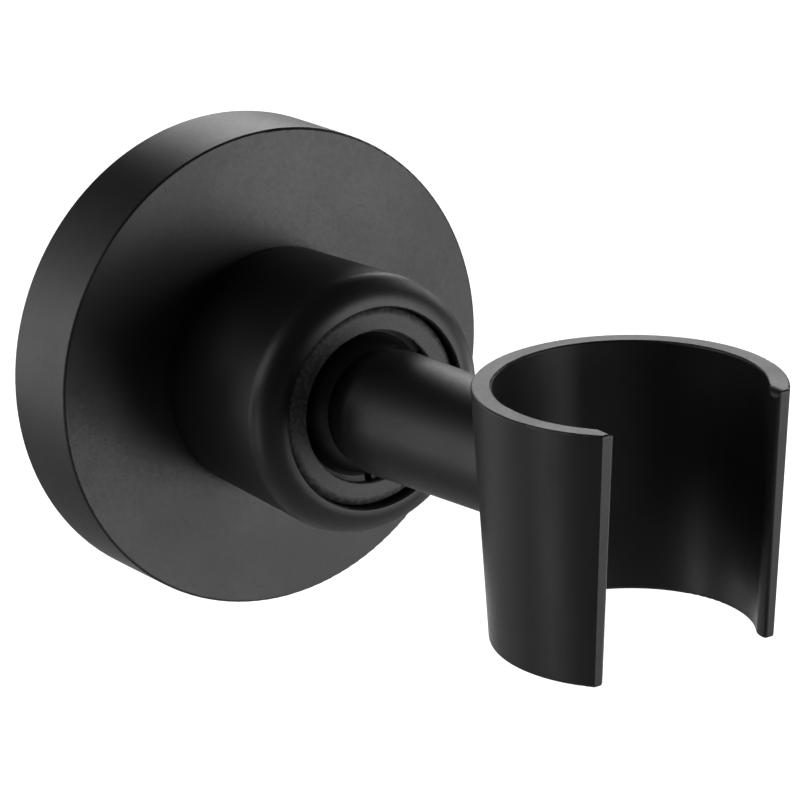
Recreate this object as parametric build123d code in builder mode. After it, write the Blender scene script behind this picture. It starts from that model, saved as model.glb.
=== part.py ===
from build123d import *
from math import acos, asin, cos, degrees, radians, sin, sqrt
import os

# Hand shower holder for a wall. The wall is the plane y = 0, the arm runs out along -Y, +Z is up, and the
# origin is the middle of the flange on the wall. All sizes are in millimetres.

os.makedirs("parts", exist_ok=True)

# Flange cover and the plate behind it
flange_diameter = 50.0
flange_depth = 10.2
flange_wall = 3.0
flange_face = 2.2
flange_edge_radius = 0.25
flange_inner_radius = 1.0
back_edge_chamfer = 0.3

plate_behind_washer = 1.0
plate_hole_diameter = 18.4
plate_edge_chamfer = 0.4
screw_hole_diameter = 4.5
screw_head_diameter = 8.0
screw_head_angle = 90.0
groove_depth = 1.2
set_screw_out = 3.6
set_screw_diameter = 4.0
set_screw_sunk = 0.3
set_screw_tip_radius = 0.5
set_screw_socket = 2.0
set_screw_socket_depth = 1.6

# Housing of the ball
housing_foot_diameter = 25.4
housing_front_diameter = 26.8
mouth_diameter = 20.6
mouth_out = 28.9
mouth_chamfer = 0.15
mouth_flat = 0.1
floor_depth = 2.0
spigot_diameter = 10.0
spigot_length = 7.8
spigot_chamfer = 0.6
thread_depth = 0.55

washer_depth = 1.0
washer_diameter = 18.0
nut_depth = 3.0
nut_across_flats = 14.0
nut_chamfer = 0.5

# Ball and what holds it
ball_centre_out = 24.0
ball_diameter = 15.6
liner_depth = 0.65
liner_front_angle = 70.0
liner_back_angle = 150.0
liner_slit_width = 0.8
liner_slit_count = 6
liner_slit_behind = 2.5

ring_hole_diameter = 15.54
ring_sunk = 0.7
ring_back_ahead = 0.6
ring_edge_radius = 1.0
ring_hole_radius = 0.2

spring_thickness = 0.7
spring_rise = 0.5
spring_diameter = 19.2
spring_hole_diameter = 10.0
seat_hole_diameter = 8.0
seat_front_behind = 3.5
seat_edge_chamfer = 0.4

# Arm, which stands in its socket raised by a small angle
arm_raised = 1.8
neck_diameter = 11.8
stem_start_diameter = 12.8
stem_start_out = 32.6
stem_end_diameter = 11.9
pin_diameter = 8.0
pin_length = 8.0
pin_hole_extra = 1.0
pin_chamfer = 0.6

# Cup
cup_out = 70.8
cup_rise = 0.2
cup_lean = 2.0
cup_height = 24.6
bore_top_diameter = 25.2
bore_narrowing = 2.1
cup_wall_top = 1.9
cup_wall_bottom = 1.6
rim_edge_radius = 0.2
bottom_edge_radius = 0.35
slot_inset = 2.35
slot_top_radius = 0.8
tip_face_top = 1.3
tip_face_bottom = 1.05
tip_inner_radius = 1.9
tip_front_radius = 0.4
stem_root_radius = 0.8

# Fits
hand_gap = 0.2
thread_gap = 0.05
running_gap = 0.05

# Values that follow from the ones above
flange_radius = flange_diameter / 2
flange_bore_radius = flange_radius - flange_wall
cover_depth_inside = flange_depth - flange_face
plate_radius = flange_bore_radius - hand_gap
screw_place = (plate_hole_diameter / 2 + plate_radius) / 2
washer_back_out = cover_depth_inside - washer_depth
plate_depth = washer_back_out - plate_behind_washer
spigot_radius = spigot_diameter / 2
spigot_end = flange_depth - spigot_length
floor_out = flange_depth + floor_depth
mouth_radius = mouth_diameter / 2
foot_radius = housing_foot_diameter / 2
front_radius = housing_front_diameter / 2
side_slope = (front_radius - foot_radius) / (mouth_out - flange_depth)
shoulder_room = front_radius - mouth_radius - mouth_chamfer - mouth_flat
shoulder_radius = shoulder_room / (sqrt(1 + side_slope**2) + side_slope)
thread_root_radius = spigot_radius - thread_depth
ball_radius = ball_diameter / 2
liner_inside = ball_radius + running_gap
liner_outside = liner_inside + liner_depth
socket_radius = liner_outside + running_gap
ring_front_out = mouth_out - ring_sunk
ring_hole = ring_hole_diameter / 2
ring_back_out = ball_centre_out + ring_back_ahead
seat_back_out = floor_out + spring_thickness + spring_rise
seat_front_out = ball_centre_out - seat_front_behind
neck_radius = neck_diameter / 2
ball_flat_out = ball_centre_out + sqrt(ball_radius**2 - neck_radius**2)
arm_start_out = ball_flat_out + running_gap
pin_radius = pin_diameter / 2
cup_top = cup_height / 2
bore_top_radius = bore_top_diameter / 2
bore_bottom_radius = bore_top_radius - bore_narrowing / 2
cup_top_radius = bore_top_radius + cup_wall_top
cup_bottom_radius = bore_bottom_radius + cup_wall_bottom
slot_half_width = bore_bottom_radius - slot_inset

# Half section through the arm's line: across is the distance from the line, along the distance from the wall
half_section = Plane(origin=(0, 0, 0), x_dir=(1, 0, 0), z_dir=(0, 0, -1))

# The same half section and line for the ball and the arm, turned about the ball's centre
ball_centre = (0, -ball_centre_out, 0)
arm_out = (0, -cos(radians(arm_raised)), sin(radians(arm_raised)))
arm_line = Axis(ball_centre, arm_out)
arm_section = Plane(
    origin=(0, ball_centre_out * (cos(radians(arm_raised)) - 1), -ball_centre_out * sin(radians(arm_raised))),
    x_dir=(1, 0, 0),
    z_dir=(0, -sin(radians(arm_raised)), -cos(radians(arm_raised))),
)

# The cup's middle and its own directions: it leans out of the upright, its top away from the wall
cup_middle = (0, -cup_out, cup_rise)
cup_up = (0, -sin(radians(cup_lean)), cos(radians(cup_lean)))
cup_front = (0, -cos(radians(cup_lean)), -sin(radians(cup_lean)))
cup_axis = Axis(cup_middle, cup_up)
cup_front_line = Axis(cup_middle, cup_front)
cup_section = Plane(origin=cup_middle, x_dir=(1, 0, 0), z_dir=cup_front)
cup_side = Plane(origin=cup_middle, x_dir=cup_front, z_dir=(-1, 0, 0))


def wall_plane(out):
    """The plane parallel to the wall at a distance out from it, facing into the room."""
    return Plane.XZ.offset(out)


def corner(across, along):
    """The corner of the present section nearest to a point of it."""
    return vertices().sort_by_distance((across, along))[0]


def round_about_ball(radius, angle):
    """The point of the half section at an angle from the arm's line, on a sphere about the ball's centre."""
    return (radius * sin(radians(angle)), ball_centre_out + radius * cos(radians(angle)))


def angle_out(radius, across):
    """The angle from the arm's line at which a sphere about the ball's centre is that far across."""
    return degrees(asin(across / radius))


def angle_along(radius, out):
    """The angle from the arm's line at which a sphere about the ball's centre is that far from the wall."""
    return degrees(acos((out - ball_centre_out) / radius))


def ball_arc(radius, first, last):
    """An arc of a sphere about the ball's centre in the half section, between two angles."""
    return ThreePointArc(
        round_about_ball(radius, first),
        round_about_ball(radius, (first + last) / 2),
        round_about_ball(radius, last),
    )


# Flange cover: a round cap, open to the wall, with a hole for the housing's spigot
with BuildPart() as flange_cover:
    with BuildSketch(half_section):
        hole = spigot_radius + hand_gap
        with BuildLine():
            Polyline(
                (hole, cover_depth_inside),
                (flange_bore_radius, cover_depth_inside),
                (flange_bore_radius, 0),
                (flange_radius, 0),
                (flange_radius, flange_depth),
                (hole, flange_depth),
                close=True,
            )
        make_face()
        fillet(corner(flange_radius, flange_depth), flange_edge_radius)
        fillet(corner(flange_bore_radius, cover_depth_inside), flange_inner_radius)
        chamfer([corner(flange_bore_radius, 0), corner(flange_radius, 0)], back_edge_chamfer)
    revolve(axis=Axis.Y)
    with BuildSketch(Plane.XY.offset(-flange_radius - hand_gap)):
        with Locations((0, -set_screw_out)):
            Circle(set_screw_diameter / 2)
    extrude(amount=flange_wall + 2 * hand_gap, mode=Mode.SUBTRACT)
flange_cover.part.label = "flange_cover"

# Wall plate: a ring with two countersunk holes and a groove round its edge for the set screw
with BuildPart() as wall_plate:
    with BuildSketch(half_section):
        with BuildLine():
            Polyline(
                (plate_hole_diameter / 2, 0),
                (plate_radius, 0),
                (plate_radius, set_screw_out - groove_depth),
                (plate_radius - groove_depth, set_screw_out),
                (plate_radius, set_screw_out + groove_depth),
                (plate_radius, plate_depth),
                (plate_hole_diameter / 2, plate_depth),
                close=True,
            )
        make_face()
        chamfer(corner(plate_radius, plate_depth), plate_edge_chamfer)
        chamfer(corner(plate_hole_diameter / 2, plate_depth), plate_edge_chamfer)
    revolve(axis=Axis.Y)
    with Locations(wall_plane(plate_depth)):
        with Locations((0, screw_place), (0, -screw_place)):
            CounterSinkHole(
                screw_hole_diameter / 2,
                screw_head_diameter / 2,
                counter_sink_angle=screw_head_angle,
            )
wall_plate.part.label = "wall_plate"

# Set screw: comes up from below through the cover, its cone sits in the plate's groove
set_screw_low = -flange_radius + set_screw_sunk
set_screw_tip = -plate_radius + groove_depth - set_screw_tip_radius
set_screw_section = Plane(origin=(0, -set_screw_out, 0), x_dir=(1, 0, 0), z_dir=(0, -1, 0))
set_screw_radius = set_screw_diameter / 2 - thread_gap
with BuildPart() as grub_screw:
    with BuildSketch(set_screw_section):
        with BuildLine():
            Polyline(
                (0, set_screw_low),
                (set_screw_radius, set_screw_low),
                (set_screw_radius, set_screw_tip - set_screw_radius + set_screw_tip_radius),
                (set_screw_tip_radius, set_screw_tip),
                (0, set_screw_tip),
                close=True,
            )
        make_face()
        chamfer(corner(set_screw_radius, set_screw_low), back_edge_chamfer)
    revolve(axis=Axis((0, -set_screw_out, 0), (0, 0, 1)))
    with BuildSketch(Plane.XY.offset(set_screw_low)):
        with Locations((0, -set_screw_out)):
            RegularPolygon(set_screw_socket / 2, 6, major_radius=False)
    extrude(amount=set_screw_socket_depth, mode=Mode.SUBTRACT)
grub_screw.part.label = "grub_screw"

# Housing: flared boss with a rounded front, bored for the ball, with a threaded spigot into the cover
with BuildPart() as housing:
    with BuildSketch(half_section):
        with BuildLine():
            Polyline(
                (0, spigot_end),
                (thread_root_radius, spigot_end),
                (thread_root_radius, washer_back_out),
                (spigot_radius, washer_back_out),
                (spigot_radius, flange_depth),
                (foot_radius, flange_depth),
                (front_radius, mouth_out),
                (mouth_radius, mouth_out),
                (mouth_radius, floor_out),
                (0, floor_out),
                close=True,
            )
        make_face()
        chamfer(corner(thread_root_radius, spigot_end), spigot_chamfer)
        fillet(corner(front_radius, mouth_out), shoulder_radius)
        chamfer(corner(mouth_radius, mouth_out), mouth_chamfer)
    revolve(axis=Axis.Y)
housing.part.label = "housing"

# Washer and nut on the spigot, inside the cover
with BuildPart() as washer:
    with BuildSketch(wall_plane(washer_back_out)):
        Circle(washer_diameter / 2)
        Circle(spigot_radius + hand_gap, mode=Mode.SUBTRACT)
    extrude(amount=washer_depth)
washer.part.label = "washer"

with BuildPart() as nut:
    with BuildSketch(wall_plane(washer_back_out - nut_depth)):
        RegularPolygon(nut_across_flats / 2, 6, major_radius=False)
        Circle(thread_root_radius + thread_gap, mode=Mode.SUBTRACT)
    extrude(amount=nut_depth)
    chamfer(faces().sort_by(Axis.Y)[-1].outer_wire().edges(), nut_chamfer)
nut.part.label = "nut"

# Disc spring on the floor of the bore, its inner edge against the seat
with BuildPart() as disc_spring:
    with BuildSketch(half_section):
        with BuildLine():
            Polyline(
                (spring_diameter / 2, floor_out),
                (spring_diameter / 2, floor_out + spring_thickness),
                (spring_hole_diameter / 2, floor_out + spring_thickness + spring_rise),
                (spring_hole_diameter / 2, floor_out + spring_rise),
                close=True,
            )
        make_face()
    revolve(axis=Axis.Y)
disc_spring.part.label = "disc_spring"

# Pressure seat: ring with a hollow that fits the back of the liner
seat_radius = mouth_radius - hand_gap
with BuildPart() as pressure_seat:
    with BuildSketch(half_section):
        seat_hole = seat_hole_diameter / 2
        front = round_about_ball(socket_radius, angle_along(socket_radius, seat_front_out))
        back = round_about_ball(socket_radius, 180 - angle_out(socket_radius, seat_hole))
        with BuildLine():
            Polyline(back, (seat_hole, seat_back_out), (seat_radius, seat_back_out),
                     (seat_radius, seat_front_out), front)
            ball_arc(socket_radius, angle_along(socket_radius, seat_front_out),
                     180 - angle_out(socket_radius, seat_hole))
        make_face()
        chamfer(corner(seat_radius, seat_back_out), seat_edge_chamfer)
        chamfer(corner(seat_radius, seat_front_out), seat_edge_chamfer)
    revolve(axis=Axis.Y)
pressure_seat.part.label = "pressure_seat"

# Liner: thin shell round the ball, slit from the front so that it snaps over it
with BuildPart() as ball_liner:
    with BuildSketch(half_section):
        with BuildLine():
            ball_arc(liner_outside, liner_front_angle, liner_back_angle)
            Line(round_about_ball(liner_outside, liner_back_angle), round_about_ball(liner_inside, liner_back_angle))
            ball_arc(liner_inside, liner_back_angle, liner_front_angle)
            Line(round_about_ball(liner_inside, liner_front_angle), round_about_ball(liner_outside, liner_front_angle))
        make_face()
    revolve(axis=Axis.Y)
    with BuildSketch(wall_plane(ball_centre_out - liner_slit_behind)):
        with PolarLocations(liner_outside, liner_slit_count, start_angle=180 / liner_slit_count):
            Rectangle(liner_outside, liner_slit_width)
    extrude(amount=liner_outside, mode=Mode.SUBTRACT)
ball_liner.part.label = "ball_liner"

# Ball: sphere with a flat in front where the arm's neck meets it and a threaded hole for the arm's pin
with BuildPart() as ball:
    with BuildSketch(arm_section):
        hole = pin_radius + running_gap
        hole_end = arm_start_out - pin_length - pin_hole_extra
        front_angle = angle_out(ball_radius, neck_radius)
        with BuildLine():
            ball_arc(ball_radius, 180, front_angle)
            Polyline(round_about_ball(ball_radius, front_angle), (hole, ball_flat_out), (hole, hole_end),
                     (0, hole_end), (0, ball_centre_out - ball_radius))
        make_face()
    revolve(axis=arm_line)
ball.part.label = "ball"

# Retaining ring: screwed into the mouth, its hollow holds the liner from the front
ring_radius = mouth_radius - thread_gap
with BuildPart() as retaining_ring:
    with BuildSketch(half_section):
        back_angle = angle_along(socket_radius, ring_back_out)
        hole_angle = angle_out(socket_radius, ring_hole)
        with BuildLine():
            ball_arc(socket_radius, back_angle, hole_angle)
            Polyline(
                round_about_ball(socket_radius, hole_angle),
                (ring_hole, ring_front_out),
                (ring_radius, ring_front_out),
                (ring_radius, ring_back_out),
                round_about_ball(socket_radius, back_angle),
            )
        make_face()
        fillet(corner(ring_radius, ring_front_out), ring_edge_radius)
        fillet(corner(ring_hole, ring_front_out), ring_hole_radius)
    revolve(axis=Axis.Y)
retaining_ring.part.label = "retaining_ring"

# Holder arm: pin, neck and stem turned about the arm's line, with the open cup at its end
stem_end_out = cup_out - (bore_top_radius + bore_bottom_radius) / 2
slot_start = bore_bottom_radius / 2
tip_top = sqrt(cup_top_radius**2 - (slot_half_width + tip_face_top) ** 2)
tip_bottom = sqrt(cup_bottom_radius**2 - (slot_half_width + tip_face_bottom) ** 2)
tip_slope = (tip_top - tip_bottom) / cup_height
with BuildPart() as holder_arm:
    with BuildSketch(arm_section):
        with BuildLine():
            Polyline(
                (0, stem_end_out),
                (0, arm_start_out - pin_length),
                (pin_radius, arm_start_out - pin_length),
                (pin_radius, arm_start_out),
                (neck_radius, arm_start_out),
            )
            Spline(
                (neck_radius, arm_start_out),
                (stem_start_diameter / 2, stem_start_out),
                tangents=[(0, 1), (stem_end_diameter / 2 - stem_start_diameter / 2, stem_end_out - stem_start_out)],
            )
            Polyline(
                (stem_start_diameter / 2, stem_start_out),
                (stem_end_diameter / 2, stem_end_out),
                (0, stem_end_out),
            )
        make_face()
        chamfer(corner(pin_radius, arm_start_out - pin_length), pin_chamfer)
    revolve(axis=arm_line)
    with BuildSketch(cup_section):
        with BuildLine():
            Polyline(
                (0, -cup_top),
                (cup_bottom_radius, -cup_top),
                (cup_top_radius, cup_top),
                (0, cup_top),
                close=True,
            )
        make_face()
    revolve(axis=cup_axis)
    root_reach = stem_start_diameter / 2 + stem_root_radius
    root = (
        edges(Select.NEW)
        .filter_by_position(Axis.Y, -cup_out + cup_bottom_radius / 2, 0)
        .filter_by_position(Axis.X, -root_reach, root_reach)
        .filter_by_position(Axis.Z, -root_reach, root_reach)
    )
    fillet(root, stem_root_radius)
    with BuildSketch(cup_section):
        slope = (bore_top_radius - bore_bottom_radius) / cup_height
        with BuildLine():
            Polyline(
                (0, -cup_top - hand_gap),
                (bore_bottom_radius - slope * hand_gap, -cup_top - hand_gap),
                (bore_top_radius + slope * hand_gap, cup_top + hand_gap),
                (0, cup_top + hand_gap),
                close=True,
            )
        make_face()
    revolve(axis=cup_axis, mode=Mode.SUBTRACT)

    # Slot towards the room, then a flat cut across both tips that leans with the side of the cup
    with BuildSketch(cup_section.offset(slot_start)):
        Rectangle(2 * slot_half_width, cup_height + 2 * hand_gap)
    extrude(amount=cup_top_radius, mode=Mode.SUBTRACT)
    with BuildSketch(cup_side):
        reach = cup_top + hand_gap
        with BuildLine():
            Polyline(
                (tip_top + tip_slope * hand_gap, reach),
                (tip_bottom - tip_slope * hand_gap, -reach),
                (cup_top_radius + hand_gap, -reach),
                (cup_top_radius + hand_gap, reach),
                close=True,
            )
        make_face()
    extrude(amount=cup_top_radius, both=True, mode=Mode.SUBTRACT)

    # The upright edges of the slot are rounded, then the rim and the lower edge all the way round
    for first, radius in ((0, tip_inner_radius), (2, tip_front_radius)):
        uprights = edges().filter_by(lambda edge: edge.length > cup_height / 2)
        uprights = uprights.filter_by_position(Axis.X, -slot_half_width - hand_gap, slot_half_width + hand_gap)
        uprights = uprights.filter_by_position(cup_front_line, slot_start, tip_top)
        fillet(uprights.sort_by(cup_front_line)[-2:] if first else uprights.sort_by(cup_front_line)[:2], radius)
    for height, radius in ((cup_top, rim_edge_radius), (-cup_top, bottom_edge_radius)):
        level = edges().filter_by_position(cup_axis, height - running_gap, height + running_gap)
        fillet(level.filter_by(GeomType.CIRCLE), radius)

    # The slot walls are rounded off into the rim with a larger radius
    with BuildSketch(cup_section.offset(slot_start)):
        for side in (-1, 1):
            wall = side * slot_half_width
            rim = wall + side * slot_top_radius
            with BuildLine():
                RadiusArc((wall, cup_top - slot_top_radius), (rim, cup_top), side * slot_top_radius)
                Polyline((rim, cup_top), (rim, cup_top + hand_gap), (wall - side * hand_gap, cup_top + hand_gap),
                         (wall - side * hand_gap, cup_top - slot_top_radius), (wall, cup_top - slot_top_radius))
            make_face()
    extrude(amount=cup_top_radius, mode=Mode.SUBTRACT)
holder_arm.part.label = "holder_arm"

pieces = [flange_cover, wall_plate, grub_screw, housing, washer, nut, disc_spring, pressure_seat, ball_liner,
          ball, retaining_ring, holder_arm]
for piece in pieces:
    export_step(piece.part, f"parts/{piece.part.label}.step")
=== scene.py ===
import bpy
from math import cos, pi, radians, sin
from mathutils import Matrix, Vector


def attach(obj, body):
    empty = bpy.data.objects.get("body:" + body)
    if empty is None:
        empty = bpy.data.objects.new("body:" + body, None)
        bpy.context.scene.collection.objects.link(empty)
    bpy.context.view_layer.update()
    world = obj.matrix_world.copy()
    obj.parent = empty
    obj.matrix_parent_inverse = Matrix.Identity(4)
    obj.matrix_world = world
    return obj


bl_info = {
    "name": "Hand shower holder",
    "version": (1, 0, 0),
    "blender": (4, 5, 0),
    "location": "View3D > Sidebar > Holder",
    "description": "Finishes the black wall holder of a hand shower and sets it in a pale studio",
    "category": "Object",
}

# All sizes are in metres. The wall is the plane y = 0, the arm runs out along -Y and +Z is up.
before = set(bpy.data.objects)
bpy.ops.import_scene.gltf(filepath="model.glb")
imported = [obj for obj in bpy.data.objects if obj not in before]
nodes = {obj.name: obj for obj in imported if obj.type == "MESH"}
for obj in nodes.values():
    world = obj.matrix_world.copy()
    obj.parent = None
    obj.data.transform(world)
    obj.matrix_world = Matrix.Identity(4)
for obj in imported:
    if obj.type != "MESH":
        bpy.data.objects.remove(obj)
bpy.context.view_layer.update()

# Soft lamps on a sphere round the holder: azimuth and elevation in degrees, width and height, radiance.
ROUND_LAMPS = (
    ("front_right_lamp", 30, -6, (0.40, 0.50), 4.3),
    ("right_low_lamp", 88, -24, (0.38, 0.36), 2.8),
    ("right_high_lamp", 102, 20, (0.46, 0.34), 2.0),
    ("back_right_lamp", 146, 20, (0.44, 0.22), 3.7),
    ("back_lamp", 193, 8, (0.36, 0.40), 0.55),
    ("back_left_lamp", 213, 0, (0.40, 0.40), 1.4),
    ("back_low_lamp", 225, -20, (0.36, 0.30), 0.25),
    ("left_high_lamp", 242, 24, (0.40, 0.36), 1.7),
    ("left_low_lamp", 262, -18, (0.15, 0.40), 2.2),
)
ROUND_LAMPS_CENTRE = Vector((0.0, -0.035, 0.0))
ROUND_LAMPS_RADIUS = 0.75

# Lamps close over the floor, facing down: x, y, width and depth, radiance.
FLOOR_LAMPS = (
    ("floor_right_lamp", 6.55, 0.0, (10.9, 24.0), 0.35),
    ("floor_left_lamp", -6.55, 0.0, (10.9, 24.0), 0.15),
    ("floor_back_lamp", 0.0, 6.55, (2.2, 10.9), 0.35),
    ("floor_front_lamp", 0.0, -6.55, (2.2, 10.9), 0.22),
)
FLOOR_LAMPS_HEIGHT = 0.15

# The lamp that makes the floor white behind the holder. It hangs a little over the others, because lamps that
# overlap in one plane lose light.
BACKDROP_AZIMUTH = 146
BACKDROP_DISTANCE = 2.18
BACKDROP_SIZE = (2.22, 1.4)
BACKDROP_HEIGHT = 0.17
BACKDROP_RADIANCE = 1.1

FLOOR_REACH = 12.0
WORLD_STRENGTH = 0.05
CAMERA_TARGET = Vector((0.0, -0.025, 0.0))
CAMERA_SIDE_SHIFT = 0.0045


class CoatSettings(bpy.types.PropertyGroup):
    """The matte black coat of the flange, housing, ball and arm."""

    colour: bpy.props.FloatVectorProperty(
        name="Coat colour", description="Base colour of the coat", subtype="COLOR", size=3,
        default=(0.0062, 0.0062, 0.0064),
    )
    # Paler colour of the coat's edges: partly wear, partly a painted highlight.
    worn_and_highlight_colour: bpy.props.FloatVectorProperty(
        name="Edge colour", description="Colour of the coat where hands rub its edges", subtype="COLOR",
        size=3, default=(0.030, 0.030, 0.031),
    )
    roughness: bpy.props.FloatProperty(
        name="Roughness", description="Middle roughness of the coat", default=0.40, min=0.0, max=1.0
    )
    grain_size: bpy.props.FloatProperty(
        name="Grain size", description="Distance from one bump of the sprayed coat to the next",
        default=0.00042, unit="LENGTH",
    )
    grain_depth: bpy.props.FloatProperty(
        name="Grain depth", description="Height of the bumps of the sprayed coat", default=0.000009,
        unit="LENGTH",
    )
    # The paler edge band is partly rubbed coat and partly a painted highlight.
    edge_width: bpy.props.FloatProperty(
        name="Edge width", description="How far in from an edge the coat is rubbed", default=0.00022,
        unit="LENGTH",
    )


class ThreadSettings(bpy.types.PropertyGroup):
    """The thread on the end of the housing's spigot, behind the nut."""

    start: bpy.props.FloatProperty(
        name="Start", description="Place of the first turn, out from the wall", default=0.00372,
        unit="LENGTH",
    )
    end: bpy.props.FloatProperty(
        name="End", description="Place of the last turn, out from the wall", default=0.00302, unit="LENGTH"
    )
    pitch: bpy.props.FloatProperty(
        name="Pitch", description="Distance from one turn to the next", default=0.00050, unit="LENGTH"
    )
    root_radius: bpy.props.FloatProperty(
        name="Root radius", description="Radius at the bottom of the thread", default=0.00445, unit="LENGTH"
    )
    ridge: bpy.props.FloatProperty(
        name="Ridge", description="Height of the ridge over the root", default=0.00027, unit="LENGTH"
    )
    run_out: bpy.props.FloatProperty(
        name="Run-out", description="Part of the thread over which each end fades", default=0.10, min=0.01,
        max=0.5,
    )


class RingSettings(bpy.types.PropertyGroup):
    """The grained plastic ring in the mouth of the housing."""

    colour: bpy.props.FloatVectorProperty(
        name="Ring colour", description="Base colour of the ring", subtype="COLOR", size=3,
        default=(0.064, 0.064, 0.066),
    )
    roughness: bpy.props.FloatProperty(
        name="Roughness", description="Middle roughness of the ring", default=0.54, min=0.0, max=1.0
    )
    grain_size: bpy.props.FloatProperty(
        name="Grain size", description="Distance from one grain of the moulded surface to the next",
        default=0.00040, unit="LENGTH",
    )
    grain_depth: bpy.props.FloatProperty(
        name="Grain depth", description="Height of the moulded grain", default=0.000022, unit="LENGTH"
    )


class InnerSettings(bpy.types.PropertyGroup):
    """The hidden pieces: plastic liner and seat, steel plate, washer, nut and spring, and the set screw."""

    plastic_colour: bpy.props.FloatVectorProperty(
        name="Plastic colour", description="Base colour of the liner and the pressure seat",
        subtype="COLOR", size=3, default=(0.014, 0.014, 0.015),
    )
    steel_colour: bpy.props.FloatVectorProperty(
        name="Steel colour", description="Base colour of the plain steel pieces", subtype="COLOR", size=3,
        default=(0.56, 0.57, 0.58),
    )
    dark_steel_colour: bpy.props.FloatVectorProperty(
        name="Dark steel colour", description="Base colour of the blackened set screw", subtype="COLOR",
        size=3, default=(0.06, 0.06, 0.065),
    )
    turning_pitch: bpy.props.FloatProperty(
        name="Turning pitch", description="Distance between the rings that the lathe leaves",
        default=0.00045, unit="LENGTH",
    )


class StageSettings(bpy.types.PropertyGroup):
    """Floor, lamps and camera."""

    floor_colour: bpy.props.FloatVectorProperty(
        name="Floor colour", description="Colour of the floor and backdrop", subtype="COLOR", size=3,
        default=(0.92, 0.92, 0.92),
    )
    floor_drop: bpy.props.FloatProperty(
        name="Floor drop", description="How far the floor lies under the holder's middle", default=0.60,
        unit="LENGTH",
    )
    azimuth: bpy.props.FloatProperty(
        name="Azimuth", description="Direction of the camera round the holder", default=radians(-33.358),
        unit="ROTATION",
    )
    elevation: bpy.props.FloatProperty(
        name="Elevation", description="Height of the camera above the horizon", default=radians(17.320),
        unit="ROTATION",
    )
    roll: bpy.props.FloatProperty(
        name="Roll", description="Turn of the camera about its own line of sight", default=radians(-2.350),
        unit="ROTATION",
    )
    distance: bpy.props.FloatProperty(
        name="Distance", description="Distance of the camera from the point it looks at", default=0.43760,
        unit="LENGTH",
    )
    lens: bpy.props.FloatProperty(
        name="Lens", description="Focal length on a 36 mm sensor", default=196.90, min=1.0
    )


def feed(tree, socket, value):
    """Links a socket to another one, or sets its value."""
    if isinstance(value, bpy.types.NodeSocket):
        tree.links.new(value, socket)
    elif socket.type == "RGBA":
        socket.default_value = (*value, 1.0)
    else:
        socket.default_value = value


def add_node(tree, kind, options=(), **inputs):
    """A node with its options, which decide what inputs it has, and its inputs by name, with _ for a space."""
    node = tree.nodes.new(kind)
    for label, value in dict(options).items():
        setattr(node, label, value)
    for label, value in inputs.items():
        feed(tree, node.inputs[label.replace("_", " ")], value)
    return node


def mix(tree, factor, first, second, kind="Color"):
    """A mix of two colours, or of two numbers where kind is Float."""
    node = add_node(tree, "ShaderNodeMix", {"data_type": {"Color": "RGBA", "Float": "FLOAT"}[kind]})
    inputs = {socket.identifier: socket for socket in node.inputs}
    feed(tree, inputs["Factor_Float"], factor)
    feed(tree, inputs["A_" + kind], first)
    feed(tree, inputs["B_" + kind], second)
    return next(socket for socket in node.outputs if socket.identifier == "Result_" + kind)


def calc(tree, operation, *values):
    """A math node on sockets or numbers."""
    node = add_node(tree, "ShaderNodeMath", {"operation": operation})
    for socket, value in zip(node.inputs, values):
        feed(tree, socket, value)
    return node.outputs[0]


def shift(tree, value, mask, amount):
    """A value moved by an amount where a mask is 1."""
    return calc(tree, "ADD", value, calc(tree, "MULTIPLY", mask, amount))


def spread(tree, value, low, high, to_low=0.0, to_high=1.0):
    """Maps a value from one range to another, smoothly and clamped."""
    smooth = {"interpolation_type": "SMOOTHSTEP"}
    limits = {"From_Min": low, "From_Max": high, "To_Min": to_low, "To_Max": to_high}
    return add_node(tree, "ShaderNodeMapRange", smooth, Value=value, **limits).outputs[0]


def noise(tree, vector, scale, detail=2.0, rough=0.5):
    """A noise texture's value at a scale in bumps per metre."""
    node = add_node(tree, "ShaderNodeTexNoise", Vector=vector, Scale=scale, Detail=detail, Roughness=rough)
    return node.outputs[0]


def object_place(tree):
    """Object coordinates, which move with the piece."""
    return tree.nodes.new("ShaderNodeTexCoord").outputs["Object"]


def shade(colour, factor):
    """A colour made darker or paler."""
    return tuple(min(1.0, channel * factor) for channel in colour)


def new_group(name, inputs, outputs):
    """An empty shader node group with named numbers going in and out."""
    group = bpy.data.node_groups.new(name, "ShaderNodeTree")
    for label, value in inputs.items():
        socket = group.interface.new_socket(label, in_out="INPUT", socket_type="NodeSocketFloat")
        socket.default_value = value
    for label in outputs:
        group.interface.new_socket(label, in_out="OUTPUT", socket_type="NodeSocketFloat")
    return group, group.nodes.new("NodeGroupInput").outputs, group.nodes.new("NodeGroupOutput").inputs


def surface_grain(name):
    """Fine grain of a sprayed or moulded surface: its height, its specks and a slow cloud."""
    group, given, out = new_group(
        name, {"Size": 0.0004, "Depth": 0.00001, "Cells": 0.0}, ("Height", "Cloud", "Speck")
    )
    place = object_place(group)
    per_metre = calc(group, "DIVIDE", 1.0, given["Size"])
    fine = noise(group, place, per_metre, 3.0, 0.62)
    rounded = {"feature": "SMOOTH_F1"}
    cell = add_node(group, "ShaderNodeTexVoronoi", rounded, Vector=place, Scale=per_metre, Smoothness=0.6)
    domes = calc(group, "SUBTRACT", 1.0, cell.outputs["Distance"])
    bumps = mix(group, given["Cells"], fine, domes, "Float")
    feed(group, out["Height"], calc(group, "MULTIPLY", bumps, given["Depth"]))
    # A cloud is about thirty grains wide.
    clouds_per_metre = calc(group, "MULTIPLY", per_metre, 0.035)
    feed(group, out["Cloud"], noise(group, place, clouds_per_metre, 4.0, 0.55))
    feed(group, out["Speck"], spread(group, bumps, 0.35, 0.75))
    return group


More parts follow.
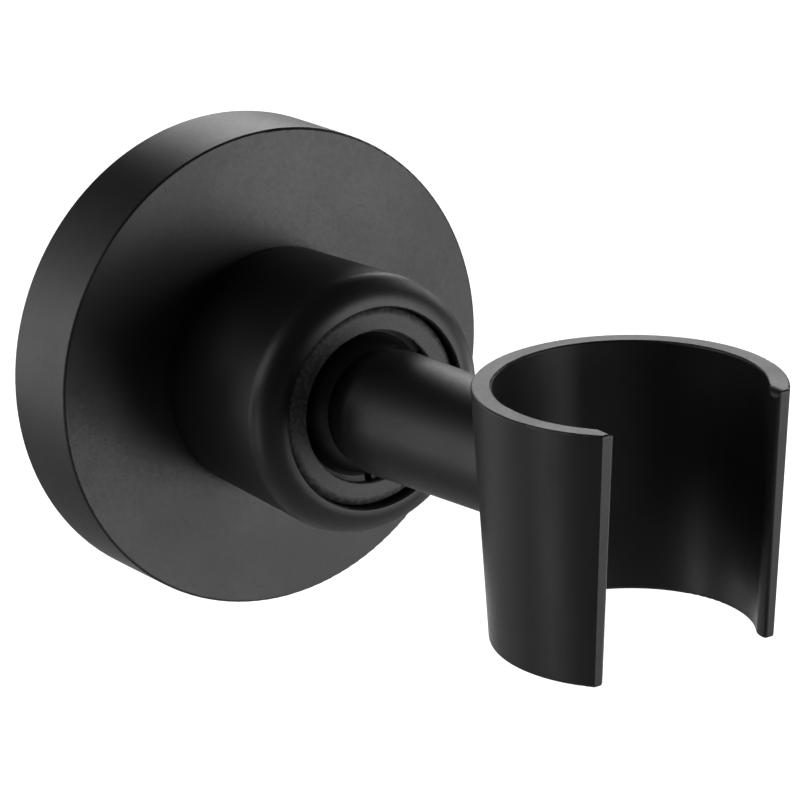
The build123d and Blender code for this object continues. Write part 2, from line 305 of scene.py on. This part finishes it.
def edge_rub_and_highlight(name):
    """Mask of the paler edges, partly rub and partly a painted highlight, from the angle between the face and
    a normal rounded over a width.
    """
    group, given, out = new_group(name, {"Width": 0.0002, "Break up": 900.0}, ("Mask",))
    rounded = add_node(group, "ShaderNodeBevel", {"samples": 4}, Radius=given["Width"])
    meet = add_node(group, "ShaderNodeVectorMath", {"operation": "DOT_PRODUCT"})
    feed(group, meet.inputs[0], rounded.outputs[0])
    feed(group, meet.inputs[1], group.nodes.new("ShaderNodeNewGeometry").outputs["Normal"])
    # The paler edge, partly rub and partly a painted highlight, starts where the two are 8 degrees apart, and
    # is full at 33 degrees.
    near_edge = spread(group, calc(group, "SUBTRACT", 1.0, meet.outputs["Value"]), 0.01, 0.16)
    patches = noise(group, object_place(group), given["Break up"], 3.0, 0.6)
    rub_and_highlight_amount = spread(group, patches, 0.35, 0.62, 0.25, 1.0)
    feed(group, out["Mask"], calc(group, "MULTIPLY", near_edge, rub_and_highlight_amount))
    return group


def turned_rings(name):
    """Rings that a lathe leaves round the arm's line, as a height and a mask."""
    group, given, out = new_group(name, {"Pitch": 0.00024, "Depth": 0.000003}, ("Height", "Streak"))
    place = add_node(group, "ShaderNodeSeparateXYZ", Vector=object_place(group)).outputs
    x_squared = calc(group, "POWER", place["X"], 2.0)
    z_squared = calc(group, "POWER", place["Z"], 2.0)
    radius = calc(group, "SQRT", calc(group, "ADD", x_squared, z_squared))
    # Radius and height together, so that faces and rims both get rings.
    along = calc(group, "ADD", radius, place["Y"])
    turns = add_node(group, "ShaderNodeCombineXYZ", X=calc(group, "DIVIDE", along, given["Pitch"]))
    streak = spread(group, noise(group, turns.outputs[0], 1.0, 3.0, 0.75), 0.3, 0.7)
    feed(group, out["Height"], calc(group, "MULTIPLY", streak, given["Depth"]))
    feed(group, out["Streak"], streak)
    return group


GROUP_BUILDERS = {"Surface grain": surface_grain, "Edge rub and painted highlight": edge_rub_and_highlight, "Turned rings": turned_rings}


def place_group(tree, name, **values):
    """Puts a shared node group in a material with its own values. The first use builds the group."""
    group = bpy.data.node_groups.get(name) or GROUP_BUILDERS[name](name)
    return add_node(tree, "ShaderNodeGroup", {"node_tree": group}, **values).outputs


def new_material(name):
    """A material with one Principled shader and its output."""
    material = bpy.data.materials.new(name)
    material.use_nodes = True
    tree = material.node_tree
    tree.nodes.clear()
    shader = tree.nodes.new("ShaderNodeBsdfPrincipled")
    add_node(tree, "ShaderNodeOutputMaterial", Surface=shader.outputs[0])
    return material, tree, shader.inputs


def bump(tree, height):
    """A normal from a height in metres."""
    return add_node(tree, "ShaderNodeBump", Distance=1.0, Strength=1.0, Height=height).outputs[0]


def coat_material(settings):
    """Matte black sprayed coat with a fine skin and paler edges, partly rubbed and partly a painted highlight.
    """
    material, tree, shader = new_material("matte_black_coat")
    grain = place_group(
        tree, "Surface grain", Size=settings.grain_size, Depth=settings.grain_depth, Cells=0.35
    )
    rub_and_highlight = place_group(tree, "Edge rub and painted highlight", Width=settings.edge_width)["Mask"]
    body = mix(tree, grain["Cloud"], shade(settings.colour, 0.75), shade(settings.colour, 1.35))
    # Paler edges: partly rubbed coat, partly a painted highlight.
    rub_and_highlight_amount = calc(tree, "MULTIPLY", rub_and_highlight, 0.6)
    feed(tree, shader["Base Color"], mix(tree, rub_and_highlight_amount, body, settings.worn_and_highlight_colour))
    middle = settings.roughness
    clouded = spread(tree, grain["Cloud"], 0.25, 0.75, middle - 0.04, middle + 0.03)
    speckled = shift(tree, clouded, grain["Speck"], 0.05)
    feed(tree, shader["Roughness"], shift(tree, speckled, rub_and_highlight, -0.06))
    feed(tree, shader["Normal"], bump(tree, grain["Height"]))
    return material


def ring_material(settings):
    """Moulded plastic with a sanded grain."""
    material, tree, shader = new_material("grained_ring_plastic")
    grain = place_group(
        tree, "Surface grain", Size=settings.grain_size, Depth=settings.grain_depth, Cells=0.7
    )
    speckled = mix(tree, grain["Speck"], shade(settings.colour, 0.55), shade(settings.colour, 1.5))
    feed(tree, shader["Base Color"], speckled)
    middle = settings.roughness
    feed(tree, shader["Roughness"], spread(tree, grain["Speck"], 0.0, 1.0, middle - 0.05, middle + 0.07))
    feed(tree, shader["Normal"], bump(tree, grain["Height"]))
    return material


def liner_material(settings):
    """Dark moulded plastic of the liner and the pressure seat, slightly polished by the ball."""
    material, tree, shader = new_material("smooth_dark_plastic")
    grain = place_group(tree, "Surface grain", Size=0.0006, Depth=0.000005, Cells=0.1)
    dark, pale = shade(settings.plastic_colour, 0.8), shade(settings.plastic_colour, 1.2)
    feed(tree, shader["Base Color"], mix(tree, grain["Cloud"], dark, pale))
    feed(tree, shader["Roughness"], spread(tree, grain["Cloud"], 0.25, 0.75, 0.33, 0.44))
    feed(tree, shader["Normal"], bump(tree, grain["Height"]))
    return material


def steel_material(name, colour, roughness, pitch, depth):
    """Turned steel with lathe rings, soft clouds and paler edges."""
    material, tree, shader = new_material(name)
    feed(tree, shader["Metallic"], 1.0)
    rings = place_group(tree, "Turned rings", Pitch=pitch, Depth=depth)
    grain = place_group(tree, "Surface grain", Size=0.0005, Depth=0.000002, Cells=0.0)
    rub_and_highlight = place_group(tree, "Edge rub and painted highlight", Width=0.00025)["Mask"]
    mottle = calc(tree, "MULTIPLY", calc(tree, "ADD", rings["Streak"], grain["Cloud"]), 0.5)
    body = mix(tree, mottle, shade(colour, 0.62), shade(colour, 1.15))
    feed(tree, shader["Base Color"], mix(tree, calc(tree, "MULTIPLY", rub_and_highlight, 0.7), body, shade(colour, 1.35)))
    clouded = spread(tree, grain["Cloud"], 0.25, 0.75, roughness - 0.05, roughness + 0.05)
    feed(tree, shader["Roughness"], shift(tree, clouded, rings["Streak"], 0.06))
    feed(tree, shader["Normal"], bump(tree, calc(tree, "ADD", rings["Height"], grain["Height"])))
    return material


def finish_nodes(names, material):
    """Gives CAD nodes a finish."""
    for name in names:
        nodes[name].material_slots[0].material = material


def thread_tree():
    """Geometry nodes that run a three-sided ridge along a spiral round the arm's line."""
    tree = bpy.data.node_groups.new("Thread ridge", "GeometryNodeTree")
    for label in ("Start", "End", "Pitch", "Root radius", "Ridge", "Run-out"):
        tree.interface.new_socket(label, in_out="INPUT", socket_type="NodeSocketFloat")
    tree.interface.new_socket("Finish", in_out="INPUT", socket_type="NodeSocketMaterial")
    tree.interface.new_socket("Geometry", in_out="OUTPUT", socket_type="NodeSocketGeometry")
    given = tree.nodes.new("NodeGroupInput").outputs
    length = calc(tree, "SUBTRACT", given["Start"], given["End"])
    points_per_turn = 72
    spiral = add_node(
        tree, "GeometryNodeCurveSpiral", Resolution=points_per_turn,
        Rotations=calc(tree, "DIVIDE", length, given["Pitch"]),
        Start_Radius=given["Root radius"], End_Radius=given["Root radius"], Height=length,
    )
    # With level normals the profile doesn't twist on its way round.
    level = add_node(tree, "GeometryNodeSetCurveNormal", {"mode": "Z_UP"}, Curve=spiral.outputs["Curve"])
    along = tree.nodes.new("GeometryNodeSplineParameter").outputs["Factor"]
    from_end = calc(tree, "MINIMUM", along, calc(tree, "SUBTRACT", 1.0, along))
    height_at_end = 0.15
    fade = spread(tree, from_end, 0.0, given["Run-out"], height_at_end, 1.0)
    faded = add_node(tree, "GeometryNodeSetCurveRadius", Curve=level.outputs["Curve"], Radius=fade)
    # Half a turn brings the profile's first corner outwards, where it is the crest.
    triangle = add_node(tree, "GeometryNodeCurvePrimitiveCircle", Resolution=3, Radius=given["Ridge"])
    profile = add_node(
        tree, "GeometryNodeTransform", Geometry=triangle.outputs["Curve"], Rotation=(0.0, 0.0, pi)
    )
    ridge = add_node(
        tree, "GeometryNodeCurveToMesh", Curve=faded.outputs["Curve"],
        Profile_Curve=profile.outputs["Geometry"], Fill_Caps=True,
    )
    last_turn = add_node(tree, "ShaderNodeCombineXYZ", Y=calc(tree, "MULTIPLY", given["End"], -1.0))
    turned = add_node(
        tree, "GeometryNodeTransform", Geometry=ridge.outputs["Mesh"], Rotation=(radians(90), 0.0, 0.0),
        Translation=last_turn.outputs[0],
    )
    real = add_node(tree, "GeometryNodeRealizeInstances", Geometry=turned.outputs["Geometry"])
    coated = add_node(
        tree, "GeometryNodeSetMaterial", Geometry=real.outputs["Geometry"], Material=given["Finish"]
    )
    add_node(tree, "NodeGroupOutput", Geometry=coated.outputs["Geometry"])
    return tree


def new_object(name, data):
    """An object in the scene."""
    made = bpy.data.objects.new(name, data)
    bpy.context.scene.collection.objects.link(made)
    return made


class HOLDER_OT_coated_pieces(bpy.types.Operator):
    """Coat the flange cover, housing, ball and arm matte black"""

    bl_idname = "holder.coated_pieces"
    bl_label = "Coated pieces"

    def execute(self, context):
        coat = coat_material(context.scene.holder_coat)
        finish_nodes(("flange_cover", "housing", "ball", "holder_arm"), coat)
        return {"FINISHED"}


class HOLDER_OT_spigot_thread(bpy.types.Operator):
    """Cut the thread that shows on the spigot behind the nut, in the housing's finish"""

    bl_idname = "holder.spigot_thread"
    bl_label = "Spigot thread"

    def execute(self, context):
        settings = context.scene.holder_thread
        piece = new_object("spigot_thread", bpy.data.meshes.new("spigot_thread"))
        modifier = piece.modifiers.new("Thread", "NODES")
        tree = thread_tree()
        modifier.node_group = tree
        values = {
            "Start": settings.start,
            "End": settings.end,
            "Pitch": settings.pitch,
            "Root radius": settings.root_radius,
            "Ridge": settings.ridge,
            "Run-out": settings.run_out,
            "Finish": nodes["housing"].material_slots[0].material,
        }
        for socket in tree.interface.items_tree:
            if socket.in_out == "INPUT":
                modifier[socket.identifier] = values[socket.name]
        context.view_layer.update()
        made = piece.evaluated_get(context.evaluated_depsgraph_get())
        mesh = bpy.data.meshes.new_from_object(made)
        piece.modifiers.remove(modifier)
        piece.data = mesh
        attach(piece, "base")
        return {"FINISHED"}


class HOLDER_OT_ring(bpy.types.Operator):
    """Give the retaining ring its moulded grain"""

    bl_idname = "holder.ring"
    bl_label = "Retaining ring"

    def execute(self, context):
        finish_nodes(("retaining_ring",), ring_material(context.scene.holder_ring))
        return {"FINISHED"}


class HOLDER_OT_inner_pieces(bpy.types.Operator):
    """Finish the plastic and steel pieces inside the flange and the housing"""

    bl_idname = "holder.inner_pieces"
    bl_label = "Inner pieces"

    def execute(self, context):
        settings = context.scene.holder_inner
        pitch = settings.turning_pitch
        finish_nodes(("ball_liner", "pressure_seat"), liner_material(settings))
        steel = steel_material("turned_steel", settings.steel_colour, 0.30, pitch, 0.000003)
        finish_nodes(("wall_plate", "washer", "nut", "disc_spring"), steel)
        dark_steel = steel_material("blackened_steel", settings.dark_steel_colour, 0.42, pitch, 0.000002)
        finish_nodes(("grub_screw",), dark_steel)
        return {"FINISHED"}


def direction(azimuth, elevation):
    """The unit vector at two angles, from the front towards the right and from the horizon upwards."""
    return Vector((sin(azimuth) * cos(elevation), -cos(azimuth) * cos(elevation), sin(elevation)))


def make_floor(settings):
    """A wide pale floor with faint clouds."""
    material, tree, shader = new_material("pale_floor")
    cloud = spread(tree, noise(tree, object_place(tree), 3.0), 0.3, 0.7)
    colour = settings.floor_colour
    feed(tree, shader["Base Color"], mix(tree, cloud, colour, shade(colour, 1.02)))
    feed(tree, shader["Roughness"], 0.9)
    feed(tree, shader["Specular IOR Level"], 0.2)
    reach, drop = FLOOR_REACH, settings.floor_drop
    corners = [(-reach, -reach, -drop), (reach, -reach, -drop), (reach, reach, -drop), (-reach, reach, -drop)]
    mesh = bpy.data.meshes.new("floor")
    mesh.from_pydata(corners, [], [(0, 1, 2, 3)])
    mesh.materials.append(material)
    return new_object("floor", mesh)


def panel_lamp(name, place, facing, size, radiance):
    """A soft square lamp at a place, facing along a direction."""
    data = bpy.data.lights.new(name, "AREA")
    data.shape = "RECTANGLE"
    data.size, data.size_y = size
    data.energy = radiance * pi * size[0] * size[1]
    lamp = new_object(name, data)
    lamp.location = place
    lamp.rotation_euler = (-facing).to_track_quat("Z", "Y").to_euler()
    lamp.visible_camera = False
    return lamp


def make_lamps(settings):
    """The lamps round the holder and those over the floor."""
    for name, azimuth, elevation, size, radiance in ROUND_LAMPS:
        outwards = direction(radians(azimuth), radians(elevation))
        place = ROUND_LAMPS_CENTRE + ROUND_LAMPS_RADIUS * outwards
        panel_lamp(name, place, -outwards, size, radiance)
    down = Vector((0.0, 0.0, -1.0))
    for name, x, y, size, radiance in FLOOR_LAMPS:
        place = Vector((x, y, FLOOR_LAMPS_HEIGHT - settings.floor_drop))
        panel_lamp(name, place, down, size, radiance)
    place = BACKDROP_DISTANCE * direction(radians(BACKDROP_AZIMUTH), 0.0)
    place.z = BACKDROP_HEIGHT - settings.floor_drop
    backdrop = panel_lamp("backdrop_lamp", place, down, BACKDROP_SIZE, BACKDROP_RADIANCE)
    # Its long side points away from the camera.
    backdrop.rotation_euler.z = radians(BACKDROP_AZIMUTH - 90)


def make_air():
    """A faint, even light from all round."""
    world = bpy.data.worlds.new("studio_air")
    world.use_nodes = True
    glow = world.node_tree.nodes["Background"].inputs
    feed(world.node_tree, glow["Color"], (1.0, 1.0, 1.0))
    feed(world.node_tree, glow["Strength"], WORLD_STRENGTH)
    return world


def make_camera(settings):
    """The camera at the photograph's place."""
    roll = settings.roll
    back = direction(settings.azimuth, settings.elevation)
    level = Vector((cos(settings.azimuth), sin(settings.azimuth), 0.0))
    upright = back.cross(level)
    right = cos(roll) * level + sin(roll) * upright
    up = cos(roll) * upright - sin(roll) * level
    data = bpy.data.cameras.new("photo_camera")
    data.sensor_width = 36.0
    data.lens = settings.lens
    data.clip_start, data.clip_end = 0.01, 50.0
    camera = new_object("photo_camera", data)
    place = CAMERA_TARGET + CAMERA_SIDE_SHIFT * right + settings.distance * back
    camera.matrix_world = Matrix.Translation(place) @ Matrix((right, up, back)).transposed().to_4x4()
    return camera


class HOLDER_OT_stage(bpy.types.Operator):
    """Make the floor, the lamps and the camera"""

    bl_idname = "holder.stage"
    bl_label = "Stage"

    def execute(self, context):
        settings = context.scene.holder_stage
        make_floor(settings)
        make_lamps(settings)
        context.scene.world = make_air()
        context.scene.camera = make_camera(settings)
        context.scene.view_settings.view_transform = "Standard"
        return {"FINISHED"}


class HOLDER_PT_panel(bpy.types.Panel):
    """The steps of the holder's looks"""

    bl_label = "Hand shower holder"
    bl_idname = "HOLDER_PT_panel"
    bl_space_type = "VIEW_3D"
    bl_region_type = "UI"
    bl_category = "Holder"

    def draw(self, context):
        for name, _, operator in STEPS:
            box = self.layout.box()
            settings = getattr(context.scene, name)
            for label in settings.__annotations__:
                box.prop(settings, label)
            box.operator(operator.bl_idname)


STEPS = (
    ("holder_coat", CoatSettings, HOLDER_OT_coated_pieces),
    ("holder_thread", ThreadSettings, HOLDER_OT_spigot_thread),
    ("holder_ring", RingSettings, HOLDER_OT_ring),
    ("holder_inner", InnerSettings, HOLDER_OT_inner_pieces),
    ("holder_stage", StageSettings, HOLDER_OT_stage),
)


def register():
    for name, settings, operator in STEPS:
        bpy.utils.register_class(settings)
        bpy.utils.register_class(operator)
        setattr(bpy.types.Scene, name, bpy.props.PointerProperty(type=settings))
    bpy.utils.register_class(HOLDER_PT_panel)


def unregister():
    bpy.utils.unregister_class(HOLDER_PT_panel)
    for name, settings, operator in reversed(STEPS):
        delattr(bpy.types.Scene, name)
        bpy.utils.unregister_class(operator)
        bpy.utils.unregister_class(settings)


def main():
    register()
    bpy.ops.holder.coated_pieces()
    bpy.ops.holder.spigot_thread()
    bpy.ops.holder.ring()
    bpy.ops.holder.inner_pieces()
    bpy.ops.holder.stage()


if __name__ == "__main__":
    main()
